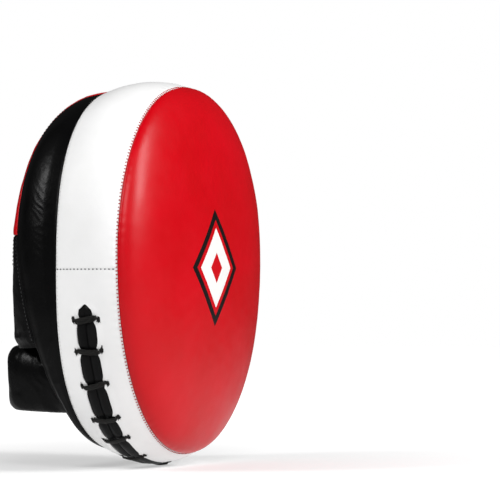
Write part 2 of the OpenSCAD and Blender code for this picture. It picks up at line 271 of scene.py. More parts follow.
def stitches(name, spots, ways, outs, length, width, material, lift=0.0, jitter=0.12):
    """Short rounded lengths of thread that lie along ways and stand a little out of the surface."""
    ring, steps = 6, 5
    t = np.linspace(-1, 1, steps)
    phi = np.arange(ring) / ring * 2 * math.pi
    points, faces = [], []
    for n, (spot, way, out) in enumerate(zip(spots, ways, outs)):
        side = np.cross(way, out)
        side = side / max(np.linalg.norm(side), 1e-9)
        way = way + side * rng.normal(0, jitter)
        size = 1 + rng.normal(0, 0.5 * jitter)
        for k in t:
            r = width / 2 * math.sqrt(max(0.06, 1 - k ** 4))
            middle = spot + way * k * length / 2 * size + out * (lift - 0.55 * width * k * k)
            points.append(middle + r * (np.cos(phi)[:, None] * side + np.sin(phi)[:, None] * out))
        base = n * ring * steps
        faces.extend(grid_faces(steps, ring, wrap_cols=True, start=base).tolist())
        faces.append([base + q for q in range(ring)])
        faces.append([base + (steps - 1) * ring + q for q in range(ring - 1, -1, -1)])
    return clean(mesh_object(name, np.concatenate(points), faces, material))


# ---- Materials
class Nodes:
    """A short way to write a material's nodes."""

    def __init__(self, name):
        self.material = bpy.data.materials.new(name)
        self.material.use_nodes = True
        self.tree = self.material.node_tree
        self.bsdf = self.tree.nodes["Principled BSDF"]
        self.coord = self.tree.nodes.new("ShaderNodeTexCoord").outputs["Object"]

    def link(self, out, socket):
        self.tree.links.new(out, socket)

    def put(self, value, socket):
        if isinstance(value, bpy.types.NodeSocket):
            self.link(value, socket)
        else:
            socket.default_value = value

    def texture(self, kind, **settings):
        node = self.tree.nodes.new("ShaderNodeTex" + kind)
        for key, value in settings.items():
            node.inputs[key].default_value = value
        self.link(self.coord, node.inputs["Vector"])
        return node

    def noise(self, scale, detail=3.0, rough=0.5, twist=0.0):
        return self.texture("Noise", Scale=scale, Detail=detail, Roughness=rough, Distortion=twist).outputs["Fac"]

    def cells(self, scale):
        return self.texture("Voronoi", Scale=scale).outputs["Distance"]

    def bands(self, scale, axis, twist=0.0):
        node = self.texture("Wave", Scale=scale, Distortion=twist)
        node.bands_direction = axis
        return node.outputs["Fac"]

    def math(self, kind, a, b=0.0):
        node = self.tree.nodes.new("ShaderNodeMath")
        node.operation = kind
        self.put(a, node.inputs[0])
        self.put(b, node.inputs[1])
        return node.outputs[0]

    def fit(self, value, low, high, to_low, to_high):
        node = self.tree.nodes.new("ShaderNodeMapRange")
        self.put(value, node.inputs["Value"])
        for key, v in (("From Min", low), ("From Max", high), ("To Min", to_low), ("To Max", to_high)):
            node.inputs[key].default_value = v
        return node.outputs["Result"]

    def paint(self, value, socket):
        self.put(value if isinstance(value, bpy.types.NodeSocket) else (*value, 1.0), socket)

    def mix(self, share, a, b):
        node = self.tree.nodes.new("ShaderNodeMix")
        node.data_type = "RGBA"
        self.put(share, node.inputs["Factor"])
        for value, key in ((a, "A"), (b, "B")):
            self.paint(value, [s for s in node.inputs if s.name == key and s.type == "RGBA"][0])
        return [s for s in node.outputs if s.type == "RGBA"][0]

    def bumps(self, *layers):
        """Layers of (height, strength, distance in mm), one on top of the other."""
        normal = None
        for height, strength, distance in layers:
            node = self.tree.nodes.new("ShaderNodeBump")
            node.inputs["Strength"].default_value = strength
            node.inputs["Distance"].default_value = distance * MM
            self.link(height, node.inputs["Height"])
            if normal is not None:
                self.link(normal, node.inputs["Normal"])
            normal = node.outputs["Normal"]
        self.link(normal, self.bsdf.inputs["Normal"])

    def finish(self, color, rough, specular, sheen=0.0):
        self.paint(color, self.bsdf.inputs["Base Color"])
        self.put(rough, self.bsdf.inputs["Roughness"])
        self.bsdf.inputs["Specular IOR Level"].default_value = specular
        self.bsdf.inputs["Sheen Weight"].default_value = sheen
        return self.material


def leather(name, tones, rough, grain, pebble, specular, creased=0.1):
    """Coated leather: a pebbled grain, faint hair-line creases, patches of tone and rubbed gloss."""
    m = Nodes(name)
    pores = m.cells(pebble)
    fine = m.noise(pebble * 2.6, 3)
    lines = m.fit(m.math("ABSOLUTE", m.math("SUBTRACT", m.noise(65, 6, 0.62, twist=0.6), 0.5)), 0, 0.035, 0, 1)
    tone = m.noise(14, 4, 0.6)
    gloss = m.noise(38, 4, 0.6)
    skin = m.math("ADD", pores, m.math("MULTIPLY", fine, 0.35))
    m.bumps((skin, grain, 0.25), (lines, creased, 0.12), (tone, 0.12, 1.2))
    color = m.mix(m.fit(tone, 0.35, 0.68, 0, 1), *tones)
    return m.finish(color, m.fit(gloss, 0.3, 0.7, rough * 0.88, rough * 1.14), specular)


RED_TONES, RED_SPECULAR = ((0.48, 0.000, 0.003), (0.545, 0.000, 0.006)), 0.23
EMBLEM_X, EMBLEM_Z, EMBLEM_HALF_W, EMBLEM_HALF_H = -15, 2, 44, 50


def face_leather():
    """The strike face's red leather, with the printed emblem in the middle of its dome."""
    m = Nodes("face_leather")
    place = m.tree.nodes.new("ShaderNodeSeparateXYZ")
    m.link(m.coord, place.inputs[0])

    def share(axis, middle, half):
        from_middle = m.math("ABSOLUTE", m.math("SUBTRACT", place.outputs[axis], middle))
        return m.math("DIVIDE", from_middle, half * MM)

    spread = m.math("ADD", share("X", pad_middle.x + EMBLEM_X * MM, EMBLEM_HALF_W),
                    share("Z", pad_middle.z + EMBLEM_Z * MM, EMBLEM_HALF_H))
    edge = m.math("MULTIPLY", m.math("SUBTRACT", m.noise(900, 2), 0.5), 0.006)
    spread = m.math("ADD", spread, edge)
    front = m.math("LESS_THAN", place.outputs["Y"], front_seam_y)

    def between(low, high):
        inside = m.math("MULTIPLY", m.math("GREATER_THAN", spread, low), m.math("LESS_THAN", spread, high))
        return m.math("MULTIPLY", inside, front)

    ring = between(0.82, 1.0)
    field = between(-1.0, 0.68)
    core = between(-1.0, 0.26)
    pores = m.cells(600)
    fine = m.noise(1500, 3)
    tone = m.noise(12, 4, 0.6)
    gloss = m.noise(40, 4, 0.6)
    worn = m.fit(m.noise(320, 5, 0.7), 0.66, 0.74, 0, 0.35)
    red = m.mix(m.fit(tone, 0.35, 0.68, 0, 1), *RED_TONES)
    ink = m.mix(worn, (0.003, 0.003, 0.003), (0.10, 0.01, 0.01))
    pale = m.mix(worn, (0.80, 0.79, 0.77), (0.72, 0.5, 0.48))
    color = m.mix(ring, red, ink)
    color = m.mix(field, color, pale)
    color = m.mix(core, color, red)
    printed = m.math("MAXIMUM", ring, field)
    skin = m.math("ADD", pores, m.math("MULTIPLY", fine, 0.35))
    m.bumps((skin, 0.15, 0.25), (tone, 0.12, 1.2), (printed, 0.25, 0.08))
    rough = m.math("ADD", m.fit(gloss, 0.3, 0.7, 0.32, 0.40), m.math("MULTIPLY", printed, 0.05))
    return m.finish(color, rough, RED_SPECULAR)


def woven(name, tones, rough, count, rib, axis, sheen):
    """A cloth of crossed threads, with a rib along one way."""
    m = Nodes(name)
    warp = m.bands(count, axis, 0.6)
    weft = m.bands(count * 0.8, "Z" if axis != "Z" else "X", 0.6)
    fuzz = m.noise(2600, 3, 0.7)
    cloth = m.math("MULTIPLY", m.math("ADD", warp, weft), 0.5)
    tone = m.noise(60, 4, 0.65)
    m.bumps((cloth, rib, 0.35), (fuzz, 0.3, 0.15))
    shade = m.math("ADD", m.math("MULTIPLY", cloth, 0.6), m.math("MULTIPLY", tone, 0.4))
    return m.finish(m.mix(m.fit(shade, 0.25, 0.75, 0, 1), *tones), rough, 0.15, sheen)


def foam(name, dark, light, size):
    """Foam or board cut from a block: open cells, darker in their pits as painted shade, and slow patches of
    tone.
    """
    m = Nodes(name)
    pores = m.cells(size)
    tone = m.noise(45, 4, 0.6)
    m.bumps((pores, 0.5, 0.5), (tone, 0.2, 1.0))
    return m.finish(m.mix(m.math("MULTIPLY", m.math("ADD", pores, tone), 0.7), dark, light), 0.9, 0.2)


def tape(name, dark, light, size, height):
    """Hook or loop tape: a dense field of small tufts."""
    m = Nodes(name)
    tufts = m.cells(size)
    fuzz = m.noise(size * 2.2, 4, 0.7)
    m.bumps((tufts, 0.9, height), (fuzz, 0.6, height * 0.5))
    shade = m.fit(m.math("ADD", tufts, fuzz), 0.5, 1.3, 0, 1)
    return m.finish(m.mix(shade, dark, light), 0.85, 0.25, sheen=0.2)


def thread(name, color):
    m = Nodes(name)
    ply = m.bands(900, "DIAGONAL")
    tone = m.noise(400, 3)
    m.bumps((ply, 0.6, 0.12))
    dark = tuple(c * 0.7 for c in color)
    return m.finish(m.mix(tone, dark, color), 0.6, 0.35)


# Painted shade: a near-black, slightly mottled colour that stands for the shade inside the punched holes.
def painted_hole_shade():
    m = Nodes("painted_hole_shade")
    torn = m.noise(1400, 4, 0.7)
    m.bumps((torn, 0.6, 0.2))
    return m.finish(m.mix(torn, (0.002, 0.002, 0.002), (0.02, 0.019, 0.018)), 0.9, 0.2)


RED = leather("red_leather", RED_TONES, 0.35, 0.14, 600, RED_SPECULAR, creased=0.04)
FACE = face_leather()
WHITE = leather("white_leather", ((0.80, 0.80, 0.795), (0.86, 0.86, 0.86)), 0.45, 0.07, 520, 0.3, creased=0.06)
BLACK = leather("black_leather", ((0.0012, 0.0012, 0.0013), (0.0026, 0.0026, 0.0027)), 0.33, 0.20, 520, 0.09,
                creased=0.25)
GRAINY = leather("grainy_leather", ((0.0016, 0.0016, 0.0017), (0.0034, 0.0034, 0.0036)), 0.44, 0.36, 330, 0.08,
                 creased=0.15)
FACING = leather("facing_leather", ((0.002, 0.002, 0.0021), (0.0045, 0.0045, 0.0047)), 0.42, 0.06, 700, 0.08)
LACE = woven("lace_cloth", ((0.0025, 0.0025, 0.0022), (0.011, 0.0105, 0.0095)), 0.75, 260, 0.6, "X", 0.05)
LINING = woven("lining_cloth", ((0.006, 0.006, 0.0065), (0.018, 0.018, 0.020)), 0.85, 170, 0.5, "X", 0.1)
STRAP = woven("strap_cloth", ((0.004, 0.004, 0.0045), (0.018, 0.018, 0.0195)), 0.7, 120, 0.9, "Z", 0.05)
HOOK = tape("hook_tape", (0.008, 0.008, 0.009), (0.035, 0.035, 0.037), 1100, 0.5)
LOOP = tape("loop_tape", (0.012, 0.012, 0.013), (0.05, 0.05, 0.052), 700, 0.9)
RED_THREAD = thread("red_thread", (0.46, 0.0, 0.004))
WHITE_THREAD = thread("white_thread", (0.72, 0.71, 0.69))
BLACK_THREAD = thread("black_thread", (0.02, 0.02, 0.021))
GREY_THREAD = thread("grey_thread", (0.30, 0.30, 0.30))
SEAM_THREAD = thread("seam_thread", (0.07, 0.07, 0.075))
HOLE_SHADE = painted_hole_shade()


# ---- The strike face
def face_surface(angles, f):
    """The dome with its tuck at the seam, small puckers round its edge and slow hollows in its padding."""
    a, g = np.meshgrid(angles, f, indexing="ij")
    reach = outline(a, 0.0) * g
    r = np.radians(a)
    y = -HALF_DEPTH - DOME * np.sqrt(np.clip(1 - g * g, 0, 1))
    points = np.stack([reach * np.cos(r), y, reach * np.sin(r)], -1)
    out = np.stack([g * np.cos(r), -np.sqrt(np.clip(1 - g * g, 0, 1)) - 0.02, g * np.sin(r)], -1)
    from_seam = np.degrees(np.arccos(np.clip(g, 0, 1))) * 0.7
    arc = r * MEAN_RADIUS
    puckers = np.sin(arc / 9 * 2 * math.pi + 2.2 * np.sin(arc / 31))
    puckers *= 0.6 + 0.4 * np.sin(arc / 47 * 2 * math.pi)
    shape = -0.9 * bump(from_seam, 1.6) + 0.10 * puckers * bump(from_seam - 3.2, 4.0)
    shape += 0.35 * waves(points, 95, 11, 2) * ramp(from_seam, 2, 14)
    shape += 0.10 * waves(points, 26, 12, 2) * ramp(from_seam, 1, 8)
    return points + unit(out) * shape[..., None]


def strike_face():
    f = np.cos(np.radians(np.concatenate([np.linspace(0, 6, 19), np.linspace(6.6, 90, 130)])))
    angles = np.linspace(0, 360, 900, endpoint=False)
    face = clean(grid_object("red_face", face_surface(angles, f), FACE, wrap_rows=True), 1e-5)
    stand_in(thicken(face, LEATHER), "red_leather", "strike_face", fill=0.95)


# ---- The side wall
def wall_relief(points, a, y):
    """How far the white leather stands out of its plain surface: tucks at both seams and slow swells."""
    front, rear = y + HALF_DEPTH, HALF_DEPTH - y
    arc = np.radians(a) * MEAN_RADIUS
    puckers = np.sin(arc / 8 * 2 * math.pi + 1.7 * np.sin(arc / 27))
    shape = -0.7 * bump(front, 1.5) - 0.7 * bump(rear, 1.5)
    shape += 0.12 * puckers * (bump(front - 3, 3) + bump(rear - 3, 3))
    return shape + 0.30 * waves(points, 80, 21, 2) * ramp(np.minimum(front, rear), 1, 12)


def cross_seam(a):
    """The groove where the wall's two panels meet at each side of the pad."""
    gap = np.minimum(a % 180, 180 - a % 180) * SIDE_ARC
    return -0.22 * bump(gap, 0.6) + 0.06 * bump(gap - 2.5, 1.2)


def side_wall_upper():
    angles = graded((0, 3, 177, 180), (16, 620, 16))
    a, y = np.meshgrid(angles, np.linspace(-HALF_DEPTH, HALF_DEPTH, 64), indexing="ij")
    plain = wall_point(a, y)
    points = plain + outward(a) * (wall_relief(plain, a, y) + cross_seam(a))[..., None]
    wall = clean(grid_object("white_wall_upper", points, WHITE))
    stand_in(thicken(wall, LEATHER), "white_leather", "side_wall_upper")


def near_bars(a, width=4.2):
    """How near angle a is to a bar of the lace, from 0 to 1."""
    return np.clip(sum(bump((a - b) * SLIT_ARC, width) for b in BARS), 0, 1)


def slit_edge(a):
    """Half the open width of the slit at angle a: pointed at its ends and drawn in by each bar."""
    open_up = np.clip(np.minimum(a - SLIT_START + 0.9, SLIT_END + 2.5 - a) / 6.5, 0, 1)
    open_up = (open_up * (2 - open_up)) ** 0.75
    return SLIT_HALF * open_up * (1 - 0.30 * near_bars(a, 4.6))


def side_wall_lower():
    """The wall's laced panel, in two halves that meet along the slit and roll in at its edge."""
    angles = graded((180, 183, 191, 194, 275, 280, 357, 360), (16, 50, 90, 640, 80, 260, 16))
    share = graded((0, 0.72, 1), (26, 18))
    halves = []
    for side in (-1, 1):
        a, t = np.meshgrid(angles, share, indexing="ij")
        edge = slit_edge(a)
        y = side * (HALF_DEPTH + (edge - HALF_DEPTH) * t)
        plain = wall_point(a, y)
        out = outward(a)
        from_edge, pulled = np.abs(y) - edge, near_bars(a)
        lip = 0.35 * bump(from_edge - 2.2, 2.2) * (1 - 1.5 * pulled) - 0.5 * pulled * bump(from_edge - 2, 4)
        relief = wall_relief(plain, a, y) + cross_seam(a) + np.clip(edge / 4, 0, 1) * lip
        points = plain + out * relief[..., None]
        lip_y = -side * np.minimum(edge[:, -1] / 3, 1.0)
        curl = [points]
        for shift, sink in ((0.25, 0.35), (0.3, 1.1), (0.0, 1.9)):
            last = points[:, -1] - out[:, -1] * (sink * np.clip(edge[:, -1:] / 2, 0, 1))
            last[:, 1] += shift * lip_y
            curl.append(last[:, None])
        halves.append(np.concatenate(curl, 1))
    rows, cols = halves[0].shape[:2]
    faces = np.concatenate([grid_faces(rows, cols), grid_faces(rows, cols, start=rows * cols)[:, ::-1]])
    wall = mesh_object("white_wall_lower", np.array(halves).reshape(-1, 3), faces, WHITE)
    stand_in(clean(wall, 2e-5), "white_leather", "side_wall_lower")


def seam_stitches():
    """Teeth of red thread round the front seam, white ones round the rear seam, and the dotted cross seams."""
    angles = np.linspace(0, 360, 2400)
    for name, y, material, pitch, reach in (("front_seam_thread", -HALF_DEPTH + 0.7, RED_THREAD, 3.1, 1.9),
                                            ("rear_seam_thread", HALF_DEPTH - 1.2, WHITE_THREAD, 3.2, 1.0)):
        spots, way = along_path(wall_point(angles, np.full_like(angles, y), 0.45), pitch)
        out = unit(spots * np.array([1, 0, 1]))
        teeth = stitches(name, spots, np.cross(way, out), out, reach, 0.95, material, lift=0.2, jitter=0.22)
        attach(teeth, "mitt")
    y = np.linspace(-HALF_DEPTH + 1.5, HALF_DEPTH - 1.5, 200)
    for name, a in (("cross_seam_pinky", 180.0), ("cross_seam_thumb", 0.0)):
        spots, way = along_path(wall_point(np.full_like(y, a), y, 0.2), 3.4)
        out = np.tile([np.cos(np.radians(a)), 0, 0], (len(spots), 1))
        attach(stitches(name, spots, way, out, 1.5, 1.0, SEAM_THREAD, lift=0.35, jitter=0.05), "mitt")


# ---- The lacing
def lace_facings():
    """The two rolled facings that meet in the slit, pinched by the bars and swollen between them."""
    angles = np.linspace(SLIT_START - 1.5, SLIT_END + 1.5, 560)
    across = np.array([0.05, 0.15, 0.6, 1.3, 2.3, 3.5, 4.8, 6.0, 7.2, 8.4, 9.6, 10.6])
    deep = np.array([3.4, 2.5, 1.7, 1.1, 0.75, 0.6, 0.75, 1.0, 1.4, 1.9, 2.4, 2.9])
    a, t = np.meshgrid(angles, across, indexing="ij")
    crown = bump(t - 3.8, 3.2)
    puff = 0.9 - 1.8 * near_bars(a)
    ends = ramp(np.minimum(a - angles[0], angles[-1] - a), 0, 2.5)
    rounded = 1.6 + (deep - 1.6) * ramp(a, SLIT_START, SLIT_START + 5)
    for name, side in (("lace_facing_front", -1), ("lace_facing_rear", 1)):
        plain = wall_point(a, side * t, np.broadcast_to(deep, a.shape))
        d = rounded - puff * crown * ends + 1.6 * (1 - ends) + 0.22 * waves(plain, 17, 31 + side, 2) * crown
        sway = 0.5 * waves(plain * np.array([1, 0, 1]), 60, 35, 1) * bump(t, 6)
        skin = grid_object(name, wall_point(a, side * t + sway, d), FACING, flip=side < 0)
        stand_in(thicken(skin, 1.0), "black_leather", name)


def lace_strip(a0, a1):
    """One bar of flat lace, from its front hole over the facings to its rear hole."""
    t = np.linspace(-1, 1, 61)
    a = (a0 + a1) / 2 + (a1 - a0) / 2 * t
    y = BAR_HALF * np.clip(t * 1.02, -1, 1)
    lift = 1.5 + 0.35 * np.cos(t * math.pi) - 4.2 * ramp(np.abs(t), 0.80, 1.0)
    width = 2.75 - 1.35 * ramp(np.abs(t), 0.62, 0.98) + 0.018 * rng.normal(size=len(t)).cumsum()
    thick = 0.75 + 0.5 * ramp(np.abs(t), 0.65, 0.98)
    middle = wall_point(a, y, np.where(np.abs(y) > SLIT_HALF, 0.3, 0.15))
    out = unit(middle * np.array([1, 0, 1]))
    side = np.cross(unit(np.gradient(middle, axis=0)), out)
    middle = middle + out * lift[:, None]
    twist = 0.28 * t ** 3 + rng.normal(0, 0.06)
    phi = np.linspace(0, 2 * math.pi, 28, endpoint=False)
    c, s = np.cos(phi), np.sin(phi)
    flat = np.sign(c) * np.abs(c) ** 0.8
    rib = 1 + 0.10 * np.cos(phi * 10)
    rolled_side = side * np.cos(twist)[:, None] + out * np.sin(twist)[:, None]
    rolled_out = out * np.cos(twist)[:, None] - side * np.sin(twist)[:, None]
    return (middle[:, None] + width[:, None, None] * flat[None, :, None] * rolled_side[:, None]
            + thick[:, None, None] * (s * rib)[None, :, None] * rolled_out[:, None])


def lace():
    """Seven bars that lean a little to and fro, and the hidden runs between them inside the wall."""
    tubes = [lace_strip(b - lean, b + lean) for b, lean in zip(BARS, BAR_LEANS)]
    phi = np.linspace(0, 2 * math.pi, 12, endpoint=False)
    for n, (a0, a1) in enumerate(zip(BARS, BARS[1:])):
        side = 1 if n % 2 == 0 else -1
        a = a0 + (a1 - a0) * np.linspace(0, 1, 30)
        middle = wall_point(a, np.full_like(a, side * (BAR_HALF - 0.5)), 4.2)
        out = unit(middle * np.array([1, 0, 1]))
        tubes.append(middle[:, None] + 0.9 * np.cos(phi)[None, :, None] * out[:, None]
                     + 1.2 * np.sin(phi)[None, :, None] * np.array([0, 1, 0]))
    faces, start = [], 0
    for tube in tubes:
        rows, cols = tube.shape[:2]
        faces.extend(grid_faces(rows, cols, wrap_cols=True, start=start).tolist())
        start += rows * cols
    points = np.concatenate([tube.reshape(-1, 3) for tube in tubes])
    stand_in(clean(mesh_object("woven_lace", points, faces, LACE)), "lace_cotton", "lace")


def lace_holes():
    """Painted shade: a flat near-black star drawn on the white leather at each punched hole stands for the shade
    inside the hole, with a ragged rim and a few loose whiskers.
    """
    points, faces, spikes = [], [], 22
    phi = np.arange(spikes) / spikes * 2 * math.pi
    for n, (b, side) in enumerate((b, side) for b in BARS for side in (-1, 1)):
        reach = 1.7 + 0.5 * rng.random(spikes) + (rng.random(spikes) > 0.82) * rng.uniform(0.6, 1.6, spikes)
        y = side * (BAR_HALF + 0.4 + 0.72 * reach * np.cos(phi))
        rim = wall_point(b + 1.25 * reach * np.sin(phi) / SLIT_ARC, y, -0.1)
        centre = wall_point(np.array([b]), np.array([side * (BAR_HALF + 0.4)]), -0.2)
        points.append(np.concatenate([centre, rim]))
        base = n * (spikes + 1)
        faces.extend([[base, base + 1 + k, base + 1 + (k + 1) % spikes] for k in range(spikes)])
    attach(clean(mesh_object("lace_hole_painted_shade", np.concatenate(points), faces, HOLE_SHADE)), "mitt")


# ---- The hand cover
def cover_patch(zs):
    """A piece of the cover between the two ridges: its plain points, the way out of it, and its relief."""
    z, k = np.meshgrid(zs, np.linspace(0, 1, 260), indexing="ij")
    u0 = ridge_angle(z)
    plain = cover_point(u0 + (180 - 2 * u0) * k, z)
    out = normals_of(plain)
    side = np.minimum(k, 1 - k) * 230
    tuck = -0.7 * bump(side, 1.6) * np.where(z < GUSSET_TIP, 1, 0)
    swell = 0.7 * ramp(side, 0, 14) + 0.6 * waves(plain, 60, 41, 2) + 0.2 * waves(plain, 18, 42, 2)
    return plain, out, tuck + swell * ramp(BACK_H / 2 - z, 0.5, 9)


def hood():
    top = BACK_H / 2
    crown = top * np.sin(np.linspace(math.asin(120 / top), math.pi / 2, 90))
    zs = np.concatenate([np.linspace(SPLIT - 3, 120, 120)[:-1], crown])
    zs[-1] = top * 0.99995
    plain, out, shape = cover_patch(zs)
    shape = shape + 0.2 * bump(zs - SPLIT - 1, 5)[:, None] - 0.3 * bump(zs - (SPLIT - 3), 1.0)[:, None]
    shape = shape * ramp(top - zs, 0, 9)[:, None]
    skin = clean(grid_object("red_hood", plain + out * shape[..., None], RED), 1e-5)
    stand_in(thicken(skin, LEATHER), "red_leather", "hood_panel", fill=0.7)


def dorsal_panel():
    zs = np.linspace(-66, SPLIT + 2, 150)
    plain, out, shape = cover_patch(zs)
    fold = creases(plain, 15, 55, (1, 0.3, 0.25), 3.0)
    wrist = ramp(-zs, 34, 60)[:, None]
    shape = shape + 0.5 * fold * wrist * bump(zs[:, None] + 56, 16) - 2.6 * ramp(-zs, 56, 66)[:, None]
    shape = shape - 1.7 * ramp(zs, SPLIT - 5, SPLIT - 2.5)[:, None]
    skin = clean(grid_object("dorsal_leather", plain + out * shape[..., None], GRAINY))
    stand_in(thicken(skin, LEATHER), "black_leather", "dorsal_panel", fill=0.7)


def gussets():
    """The black panels from the wall to the ridges, with fine lines above and folds towards the wrist."""
    zs = graded((GUSSET_FOOT, 120, GUSSET_TIP), (330, 60))
    z, k = np.meshgrid(zs, np.linspace(0, 1, 72), indexing="ij")
    plain = cover_point(ridge_angle(z) * k, z)
    out = normals_of(plain)
    wide = 60 * (1 - ramp(z, 100, GUSSET_TIP) * 0.9)
    inner, ridge = k * wide, (1 - k) * wide
    body = ramp(z, GUSSET_FOOT, GUSSET_FOOT + 18) * ramp(GUSSET_TIP - z, 0, 25)
    swell = 1.2 * ramp(inner, 0, 9) * ramp(ridge, 8, 30) * body
    lines = creases(plain, 11, 61, (0.2, 1.0, 0.75), 3.5)
    upper = bump(z - 45, 45) * bump(inner - 10, 14)
    lower = ramp(-z, 45, 70) * (1 - ramp(-z, 90, 122))
    folds = creases(plain, 17, 65, (0.2, 0.8, -0.9), 3.0)
    shape = swell - 0.8 * bump(inner, 2.0) - 0.9 * bump(ridge, 2.2)
    shape += 0.16 * lines * upper + 0.7 * folds * lower * ramp(inner, 0, 8)
    shape += 0.3 * waves(plain, 38, 63, 2) * body
    points = plain + out * shape[..., None]
    for name, flip in (("gusset_pinky", 1), ("gusset_thumb", -1)):
        skin = clean(grid_object(name + "_leather", points * np.array([flip, 1, 1]), BLACK, flip=flip < 0))
        stand_in(thicken(skin, LEATHER), "black_leather", name, fill=0.7)


def ridge_stitches():
    """Thread along both ridges, and a short pale run that shows just under the hood."""
    zs = np.linspace(-60, 138, 400)
    spots, way = along_path(cover_point(ridge_angle(zs) + 1.2, zs), 3.4)
    spots = cover_point(ridge_angle(spots[:, 2]) + 1.6, spots[:, 2])
    out = unit(np.tile([-1.0, 0.9, 0.0], (len(spots), 1)))
    ridge = "ridge_thread", spots + out * 0.1, way, out, 2.4, BLACK_THREAD, 0.1
    zs = np.linspace(3, 25, 60)
    spots, way = along_path(cover_point(np.full_like(zs, 42.0), zs), 3.3)
    out = np.tile([-0.75, 0.66, 0.0], (len(spots), 1))
    pale = "pale_stitches", spots + out * 0.9, way, out, 2.3, WHITE_THREAD, 0.2
    for name, spots, way, out, length, material, lift in (ridge, pale):
        for side, flip in (("pinky", 1), ("thumb", -1)):
            lines = [v * np.array([flip, 1, 1]) for v in (spots, way, out)]
            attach(stitches(f"{name}_{side}", *lines, length, 0.8, material, lift=lift), "mitt")


def cover_end():
    """The leather that closes the padded edge of the cover above the wrist, from its outside to its lining."""
    k, u = np.meshgrid(np.linspace(0, 1, 24), np.linspace(0, 180, 260), indexing="ij")
    level = -61.0 - 2.2 * np.sin(k * math.pi)
    plain = cover_point(u, level, 13.0 * k + 1.0)
    folds = creases(plain, 9, 57, (0.1, 1.0, 0.2), 2.5)
    plain[..., 2] += 0.5 * folds * np.sin(k * math.pi)
    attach(thicken(clean(grid_object("cover_end_leather", plain, BLACK)), 1.0, 1.0), "mitt")


# ---- The wrist cuff
CLOTH_CELL, CLOTH_PRESSURE, CLOTH_CAP, CLOTH_FRAMES = 4.5, 4.0, 2.4, 20


def arch(half, rise, corner, steps):
    """Points along an arch from one foot to the other, and the way out of it at each."""
    straight, turn, top = rise - corner, corner * math.pi / 2, 2 * (half - corner)
    total = 2 * straight + 2 * turn + top
    marks = np.array([0, straight, straight + turn, straight + turn + top, straight + 2 * turn + top, total])
    run = np.interp(steps, np.linspace(0, 1, 6), marks)
    points, outs = [], []
    for s in run:
        if s <= marks[1]:
            p, n = (-half, s), (-1, 0)
        elif s <= marks[2]:
            phi = (s - marks[1]) / corner
            n = (-math.cos(phi), math.sin(phi))
            p = (corner - half + corner * n[0], straight + corner * n[1])
        elif s <= marks[3]:
            p, n = (corner - half + s - marks[2], rise), (0, 1)
        elif s <= marks[4]:
            phi = (s - marks[3]) / corner
            n = (math.sin(phi), math.cos(phi))
            p = (half - corner + corner * n[0], straight + corner * n[1])
        else:
            p, n = (half, total - s), (1, 0)
        points.append(p)
        outs.append(n)
    return np.array(points), np.array(outs)


def on_board(flat, z):
    """Points from their places across and up from the back panel, at the levels z."""
    return np.stack([flat[..., 0], flat[..., 1] + HALF_DEPTH, np.broadcast_to(z, flat.shape[:2])], -1)


def cuff_section(thick):
    """The roll's cross-section from (inner side, low) round: distance out from the opening, and level."""
    low, high = cuff_low[2], cuff_high[2]
    corners = ((0, low, 6.0, 270), (0, high, 7.0, 180), (thick, high, 14.0, 90), (thick, low, 10.0, 0))
    v, z = [], []
    for x, level, radius, first in corners:
        cx = x + radius * (1 if x == 0 else -1)
        cz = level + radius * (1 if level == low else -1)
        phi = np.radians(np.linspace(first, first - 90, 30))
        v.append(cx + radius * np.cos(phi))
        z.append(cz + radius * np.sin(phi))
    v, z = np.concatenate(v), np.concatenate(z)
    loop = np.stack([np.append(v, v[0]), np.append(z, z[0])], 1)
    spots, _ = along_path(np.concatenate([loop, np.zeros((len(loop), 1))], 1), 1.25)
    return spots[:, 0], spots[:, 1]


def cuff_shell():
    """The padded roll round the wrist: a closed tube with a sloping shoulder above."""
    steps = np.linspace(0, 1, 300)
    rise = cuff_high[1] - HALF_DEPTH
    outer, way = arch(cuff_high[0], rise, CUFF_CORNER, steps)
    inner, _ = arch(OPEN_HALF, rise - CUFF_THICK, OPEN_CORNER, steps)
    v, z = cuff_section(CUFF_THICK + 2)
    across = v / (CUFF_THICK + 2)
    slant = 2.6 * ramp(-z, -cuff_high[2], -cuff_low[2]) * ramp(across, 0.3, 1.0)
    base = inner[:, None] * (1 - across)[None, :, None] + outer[:, None] * across[None, :, None]
    return on_board(base - way[:, None] * slant[None, :, None], z)


def own_mesh(obj):
    """Gives an object the mesh that its modifiers make of it, and takes the modifiers off."""
    made = bpy.data.meshes.new_from_object(obj.evaluated_get(bpy.context.evaluated_depsgraph_get()))
    obj.modifiers.clear()
    obj.data = made


def values(obj, what="co"):
    """The places of a mesh's points, or their normals."""
    flat = np.empty(len(obj.data.vertices) * 3)
    obj.data.vertices.foreach_get(what, flat)
    return flat.reshape(-1, 3)


def blown_up(obj, held, pressure, cap):
    """Cloth simulation: leather filled with air, its held points still, none moved further than cap in mm."""
    start = values(obj)
    group = obj.vertex_groups.new(name="held")
    group.add([int(i) for i in np.flatnonzero(held)], 1.0, "REPLACE")
    cloth = obj.modifiers.new("cloth", "CLOTH")
    cloth.settings.quality = 6
    cloth.settings.mass = 0.3
    cloth.settings.tension_stiffness = cloth.settings.compression_stiffness = 12
    cloth.settings.bending_stiffness = 0.4
    cloth.settings.use_pressure = True
    cloth.settings.uniform_pressure_force = pressure
    cloth.settings.vertex_group_mass = group.name
    cloth.settings.effector_weights.gravity = 0
    cloth.collision_settings.use_collision = False
    for step in range(1, CLOTH_FRAMES + 1):
        bpy.context.scene.frame_set(step)
    own_mesh(obj)
    obj.vertex_groups.clear()
    bpy.context.scene.frame_set(1)
    move = values(obj) - start
    reach = np.linalg.norm(move, axis=1, keepdims=True)
    move *= np.minimum(1, cap * MM / np.maximum(reach, 1e-9))
    obj.data.vertices.foreach_set("co", (start + move).ravel())


